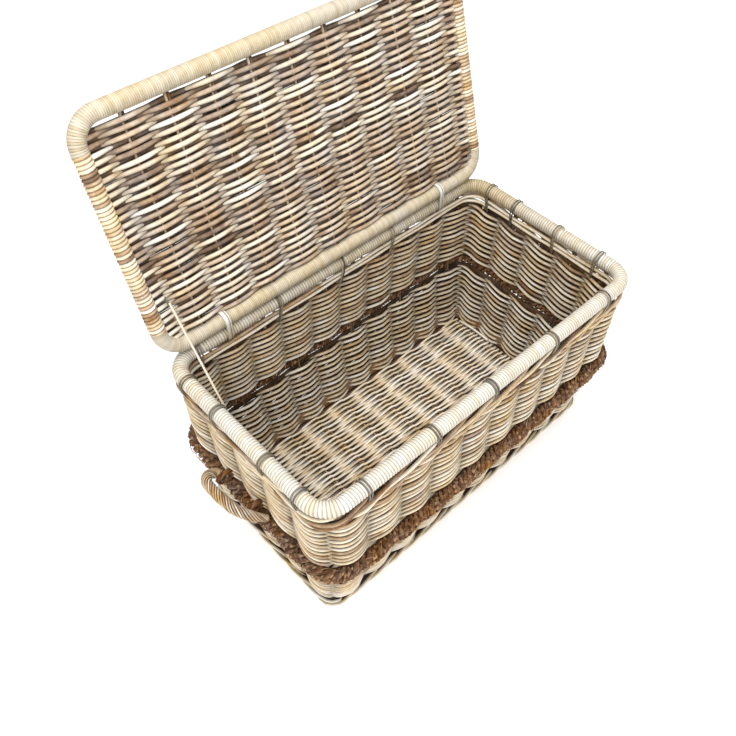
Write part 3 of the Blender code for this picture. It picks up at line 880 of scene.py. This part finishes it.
def tieStrands():
    # two canes over the rim, their legs closing in on each other as they go down into the weave
    sweep = np.radians(np.linspace(0, 180, 13))
    reach, leg = ties["clear"], ties["leg"]
    drop = np.linspace(leg, 0.004, 7)
    out = np.concatenate([reach - 0.3 * drop * drop / leg, reach * np.cos(sweep)])
    high = np.concatenate([-drop, reach * np.sin(sweep)])
    out = np.concatenate([out, -(reach - 0.15 * drop * drop / leg)[::-1]])
    high = np.concatenate([high, -drop[::-1]])
    pinch = 1 - 0.55 * np.clip(-high / leg, 0, 1)
    paths, outs = [], []
    for node in tieNodes:
        low, top = (np.array(c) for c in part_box(node))
        centre = (low + top) / 2
        facing = np.array(sideFacing[node.split("_")[2]], float)
        across = np.cross(up, facing)
        base = np.array([centre[0], centre[1], rimZ])
        lean = rng.normal(0, ties["lean"])
        for sign in (-1, 1):
            shift = sign * ties["apart"] * pinch + lean * high * 0.5
            path = base + out[:, None] * facing + high[:, None] * up + shift[:, None] * across
            paths.append(path)
            away = np.stack([out, np.maximum(high, 0)], 1)
            away = away[:, :1] * facing + away[:, 1:] * up
            outs.append(away)
    tone = np.clip(rng.normal(ties["tone"], 0.12, (len(paths), 1)), 0, 1) + 0 * out[None]
    radius = ties["radius"]
    return tubes(np.array(paths), np.array(outs), radius * 0.75, radius * 1.15, tone=tone)


addPiece("rimTies", [tieStrands()], "splitCane", "base", tuple(tieNodes))

# lid, worked out closed with the hinge axis as its X axis, then opened
hinge = np.array(joints["lid_hinge"]["pos_m"])
openBy = radians(joints["lid_hinge"]["range_deg"][1])


def opened(points):
    # turned back about the hinge axis and moved to it
    y = points[..., 1] * cos(openBy) + points[..., 2] * sin(openBy)
    z = points[..., 2] * cos(openBy) - points[..., 1] * sin(openBy)
    return np.stack([points[..., 0], y, z], -1) + hinge


lidWeave = {
    "stake": 0.077,  # stakes this far apart
    "pitch": 0.0064,
    "first": 0.0195,  # the first row, from the hinge axis
    "rows": 58,
    "halfX": 0.3760,
    "swing": 0.0055,
    "thick": 0.0025,
    "wide": 0.0037,
    "belly": 0.16,  # a strand is wider where it crosses a stake
    "tone": 0.63,
    "toneSpread": 0.15,
    "greyRows": (0.130, 0.200),
    "fillWide": 0.0040,  # near-black strands in the middle of the weave: painted shade in the gaps
    "fillTone": 0.20,
    "stakeRadius": 0.0026,
    "stakeApart": 0.0027,
}
lidDepth = 2 * rim[1]


def lidStrands():
    # plain weave: height = +-swing cos(pi x / stake), rows in turn over and under each stake
    x = np.linspace(-lidWeave["halfX"], lidWeave["halfX"], 118)
    rows = lidWeave["first"] + lidWeave["pitch"] * np.arange(lidWeave["rows"])
    sign = np.where(np.arange(len(rows)) % 2, -1.0, 1.0)[:, None]
    wave = sign * np.cos(pi * x / lidWeave["stake"])[None]
    wave = wave * (1 + rng.normal(0, 0.05, (len(rows), 1)))
    y = -rows[:, None] + rng.normal(0, 0.0004, (len(rows), 1)) + 0 * x[None]
    sag = 0.0008 * np.sin(2 * pi * x / 0.36 + rng.uniform(0, 6, (len(rows), 1)))
    path = np.stack([x[None] + 0 * y, y + sag, lidWeave["swing"] * wave], -1)
    wide = lidWeave["wide"] * (0.97 + lidWeave["belly"] * np.abs(wave))
    bays = (x + 0.4) / lidWeave["stake"]
    tone = joinedTones(len(rows), bays, lidWeave["tone"], lidWeave["toneSpread"], 5)
    low, high = lidWeave["greyRows"]
    tone = tone - 0.10 * ((rows > low) & (rows < high))[:, None]
    tone = tone - 0.12 * np.clip(x / 0.35, 0, 1)[None] * np.clip(1 - rows / 0.16, 0, 1)[:, None]
    crease = weaveCrease(np.clip(wave, -1, 1), 8, 0.4, 0.6)
    woven = tubes(path, up, lidWeave["thick"], wide, 8, False, np.clip(tone, 0, 1), crease)
    # a near-black layer in the weave's middle plane: painted shade seen between the rows
    path = path[:, ::2] * np.array([1, 1, 0])
    tone = rng.normal(lidWeave["fillTone"], 0.06, (len(rows), 1)) + 0 * x[None, ::2]
    shadeLayer = tubes(path, up, 0.0008, lidWeave["fillWide"], 8, False, tone, 0.45)
    return [woven, shadeLayer]


def lidStakeStrands():
    stops = (np.arange(9) - 4) * lidWeave["stake"]
    y = -np.linspace(0.012, lidDepth - 0.012, 6)
    sets = []
    # painted light and shade: in each pair the left stake is pale and the right dark, like the lit and the
    # shaded side of one stake
    for shift, tone in ((-lidWeave["stakeApart"], 0.75), (lidWeave["stakeApart"], 0.22)):
        path = np.stack(np.broadcast_arrays(stops[:, None] + shift, y[None], 0.0), -1)
        tone = rng.normal(tone, 0.08, (len(stops), 1)) + 0 * y[None]
        sets.append(tubes(path, up, lidWeave["stakeRadius"], tone=tone))
    return sets


addPiece("lidWeave", lidStrands(), "bleachedKubuStrand", "lid",
         ("lid_weave_outer", "lid_weave_inner"), opened)
addPiece("lidStakes", lidStakeStrands(), "rattanPole", "lid",
         tuple(f"lid_stake_{i}" for i in range(1, 10)), opened)

lidBars = {
    "radius": 0.0142,
    "ridge": 0.0009,
    "pitch": 0.0036,
    "step": 0.0007,
    "sides": 18,
    "tail": 0.047,  # the cane winding ends this far down each end bar
    "rollRadius": 0.0145,
    "rollPitch": 0.0068,
    "rollRidge": 0.0030,
    "rollStep": 0.0008,
}


def barTone(middle, spread):
    return lambda turn, path: np.clip(rng.normal(middle, spread, turn.max() + 1), 0, 1)[turn]


loopXY = roundedLoop(rim[0], rim[1], wallShape["corner"], lidBars["step"])
loopXYZ = np.concatenate([loopXY, np.zeros((len(loopXY), 1))], 1) - np.array([0, rim[1], 0])
atBack = loopXYZ[loopXYZ[:, 1] > -lidBars["tail"]]
turned = np.roll(loopXYZ, len(loopXYZ) // 2, 0)
atFront = turned[turned[:, 1] < lidBars["tail"] - lidDepth]
for name, path, node in (("lidBackBinding", atBack, "lid_back_binding"),
                         ("lidFrontBinding", atFront, "lid_front_binding")):
    group = wound(path, up, lidBars["radius"], lidBars["ridge"], lidBars["pitch"], 4,
                  lidBars["sides"], False, barTone(0.60, 0.06))
    addPiece(name, [group], "splitCane", "lid", (node,), opened)
for name, sign, node in (("lidRollLeft", -1, "lid_edge_roll_left"),
                         ("lidRollRight", 1, "lid_edge_roll_right")):
    y = np.arange(-lidBars["tail"] + 0.001, lidBars["tail"] - lidDepth - 0.001, -lidBars["rollStep"])
    path = np.stack([np.full(len(y), sign * rim[0]), y, 0 * y], 1)
    group = wound(path, up, lidBars["rollRadius"], lidBars["rollRidge"], lidBars["rollPitch"], 2.2, 22,
                  False, barTone(0.62, 0.16))
    addPiece(name, [group], "kubuStrand", "lid", (node,), opened)

hingeLoop = {
    "clear": 0.0163,
    "wide": 0.0044,
    "thin": 0.0014,
    "apart": 0.0063,
    "thick": 0.0012,
    "shift": -0.0014,
}


def hingeStrands(x):
    # a stadium round both bars: two half circles joined by straight sides
    rise = hinge[2] - rimZ
    top, low = np.radians(np.linspace(0, 180, 15)), np.radians(np.linspace(180, 360, 15))
    reach = hingeLoop["clear"]
    y = reach * np.cos(np.concatenate([top, low]))
    z = reach * np.sin(np.concatenate([top, low])) + np.repeat([rise, 0.0], 15)
    away = np.stack([0 * y, y, z - np.repeat([rise, 0.0], 15)], 1)
    # painted light and shade: the loop's tone runs from dark low down to pale on top
    tone = np.interp(z, (-0.010, 0.012), (0.28, 0.97))[None]
    sets = []
    shift = hingeLoop["shift"]
    for shift, wide in ((shift, hingeLoop["wide"]), (shift + hingeLoop["apart"], hingeLoop["thin"])):
        path = np.stack([np.full(len(y), x + shift), y + hinge[1], z + rimZ], 1)
        sets.append(tubes(path[None], away[None], hingeLoop["thick"], wide, 10, True, tone))
    return sets


for name, node in (("hingeLoopLeft", "hinge_loop_left"), ("hingeLoopRight", "hinge_loop_right")):
    low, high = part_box(node)
    addPiece(name, hingeStrands((low[0] + high[0]) / 2), "splitCane", "base", (node,))
print("rim and lid ready")

# handles
handle = {
    "strands": 10,
    "orbit": 0.0083,
    "radius": 0.0019,
    "turns": 3.0,
    "taper": 0.5,  # how much the strands close in where they run into the weave
    "frontSpan": 0.064,  # the front end runs on to here
    "core": 0.0064,
    # the core is near-black: painted shade that shows between the strands
    "coreTone": 0.05,
    "tone": 0.52,
    "toneSpread": 0.13,
    "raised": 35.0,  # degrees above level
    "span": 0.060,
    "reach": 0.0425,
    "stub": 0.020,
}


def handleStrands(sign, pivot):
    # strands wind round a D-shaped centre line that leaves the wall at the two lashings
    span, reach, tail = handle["span"], handle["reach"], handle["frontSpan"]
    back = [(0.0, span - handle["stub"]), (0.0, span - 0.004), (0.008, span)]
    back = back + [(reach * 0.7, span - 0.003), (reach, span - 0.020)]
    front = [(reach, 0.0), (reach * 0.86, -0.032), (reach * 0.50, -tail + 0.012)]
    front = front + [(0.004, -tail), (-0.016, -tail - 0.008)]
    flat = np.array(back + front)
    tilt = radians(handle["raised"])
    points = np.stack([sign * flat[:, 0] * cos(tilt), flat[:, 1], flat[:, 0] * sin(tilt)], 1) + pivot
    centre = softened(points, 0.0025, 0.010)
    ahead = unit(np.gradient(centre, axis=0))
    first = np.array([-sign * sin(tilt), 0, cos(tilt)])
    second = np.cross(ahead, first)
    share = np.linspace(0, 1, len(centre))
    thin = (1 - handle["taper"] * np.clip((share - 0.82) / 0.18, 0, 1))[:, None]
    paths = []
    for strand in range(handle["strands"]):
        turn = 2 * pi * (handle["turns"] * share + strand / handle["strands"])
        swing = np.cos(turn)[:, None] * first + np.sin(turn)[:, None] * second
        paths.append(centre + handle["orbit"] * thin * swing)
    paths = np.array(paths)
    tones = rng.normal(handle["tone"], handle["toneSpread"], (handle["strands"], 1))
    tones = np.clip(tones, 0, 1) + 0 * share[None]
    radius = handle["radius"] * (0.5 + 0.5 * thin.T)
    # edge=1.0 paints strong shade on the sides where the strands touch
    strands = tubes(paths, paths - centre[None], radius, tone=tones, edge=1.0)
    core = tubes(centre[None], first, handle["core"] * thin.T, tone=handle["coreTone"])
    return [strands, core]


lashing = {
    "turns": 3,
    "inset": -0.0045,
    "reach": 0.0165,
    "rise": 0.0128,
    "half": 0.0042,
    "yarn": 0.0016,
    "tones": (0.40, 0.52, 0.30),
}


def lashingStrands(sign, pivot, y):
    # rope turns round the handle's end and the stake behind it
    angle = np.linspace(0, 2 * pi * lashing["turns"], 26 * lashing["turns"])
    out = lashing["inset"] + lashing["reach"] * np.cos(angle)
    path = np.stack([pivot[0] + sign * out, y + np.linspace(-1, 1, len(angle)) * lashing["half"],
                     pivot[2] + lashing["rise"] * np.sin(angle)], 1)
    away = np.stack([sign * np.cos(angle), 0 * angle, np.sin(angle)], 1)
    yarns = []
    for part in range(3):
        turn = 2 * pi * (len(angle) / 9 * np.linspace(0, 1, len(angle)) + part / 3)
        swing = np.cos(turn)[:, None] * away + np.sin(turn)[:, None] * np.array([0, 1, 0])
        yarns.append(path + 0.8 * lashing["yarn"] * swing)
    tone = np.array(lashing["tones"])[:, None] + 0 * angle[None]
    away = np.repeat(away[None], 3, 0)
    return [tubes(np.array(yarns), away, lashing["yarn"], sides=6, tone=tone)]


for side, sign in (("left", -1), ("right", 1)):
    pivot = np.array(joints[f"handle_{side}_swing"]["pos_m"])
    addPiece(f"{side}Handle", handleStrands(sign, pivot), "kubuStrand", f"{side}_handle",
             (f"handle_{side}",))
    for end in ("back", "front"):
        node = f"handle_lashing_{side}_{end}"
        low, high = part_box(node)
        strands = lashingStrands(sign, pivot, (low[1] + high[1]) / 2)
        addPiece(f"{side}{end.capitalize()}Lashing", strands, "bananaRope", "base", (node,))
print("handles ready")

# stay
stay = {
    "radius": 0.0020,
    "orbit": 0.0010,
    "strand": 0.0011,
    "twist": 0.012,  # one full turn of the strands in this length
    "tone": 0.75,
    "wire": 0.0012,
    "loop": 0.006,
}


def stayPieces():
    # the cord runs straight from the staple on the wall to the ring on the lid
    low, high = (np.array(corner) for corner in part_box("stay_cord"))
    radius = stay["radius"]
    wallEnd, lidEnd = low + radius, high - radius
    share = np.linspace(0, 1, 40)[:, None]
    path = wallEnd * (1 - share) + lidEnd * share
    first = unit(np.cross(lidEnd - wallEnd, up))
    second = unit(np.cross(first, lidEnd - wallEnd))
    length = float(np.linalg.norm(lidEnd - wallEnd))
    fine = np.linspace(0, 1, 160)
    centre = wallEnd * (1 - fine[:, None]) + lidEnd * fine[:, None]
    paths = []
    for strand in range(3):
        turn = 2 * pi * (length / stay["twist"] * fine + strand / 3)
        swing = np.cos(turn)[:, None] * first + np.sin(turn)[:, None] * second
        paths.append(centre + stay["orbit"] * swing)
    paths = np.array(paths)
    group = tubes(paths, paths - centre[None], stay["strand"], sides=6, tone=stay["tone"])
    cord = addPiece("stayCord", [group], "cottonCord", None, ("stay_cord",))
    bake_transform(cord)
    turn = np.radians(np.linspace(0, 180, 13))
    low, high = (np.array(corner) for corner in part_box("stay_staple"))
    centre = np.array([low[0], *((low + high) / 2)[1:]])
    path = centre + np.stack([stay["loop"] * np.sin(turn), 0 * turn, stay["loop"] * np.cos(turn)], 1)
    group = tubes(path[None], np.array([0, 1, 0]), stay["wire"])
    addPiece("stayStaple", [group], "dulledSteelWire", "base", ("stay_staple",))
    low, high = (np.array(corner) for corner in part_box("stay_ring"))
    middle = (low + high) / 2
    back = middle - hinge
    y = back[1] * cos(openBy) - back[2] * sin(openBy)
    z = back[2] * cos(openBy) + back[1] * sin(openBy)
    turn = np.radians(np.linspace(0, 360, 25))[:-1]
    long, short = 1.4 * stay["loop"] * np.cos(turn), 0.7 * stay["loop"] * np.sin(turn)
    path = np.stack([middle[0] + 0 * turn, y + long, z - short], 1)
    group = tubes(path[None], np.array([1, 0, 0]), stay["wire"], loop=True)
    addPiece("stayRing", [group], "dulledSteelWire", "lid", ("stay_ring",), opened)


stayPieces()

# poles inside the rim and the lid's frame show only between turns of their winding
for name in ("rim_pole", "lid_frame_pole"):
    bpy.data.objects[name].material_slots[0].material = finishes["rattanPole"]

low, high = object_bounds()
print("stay ready")
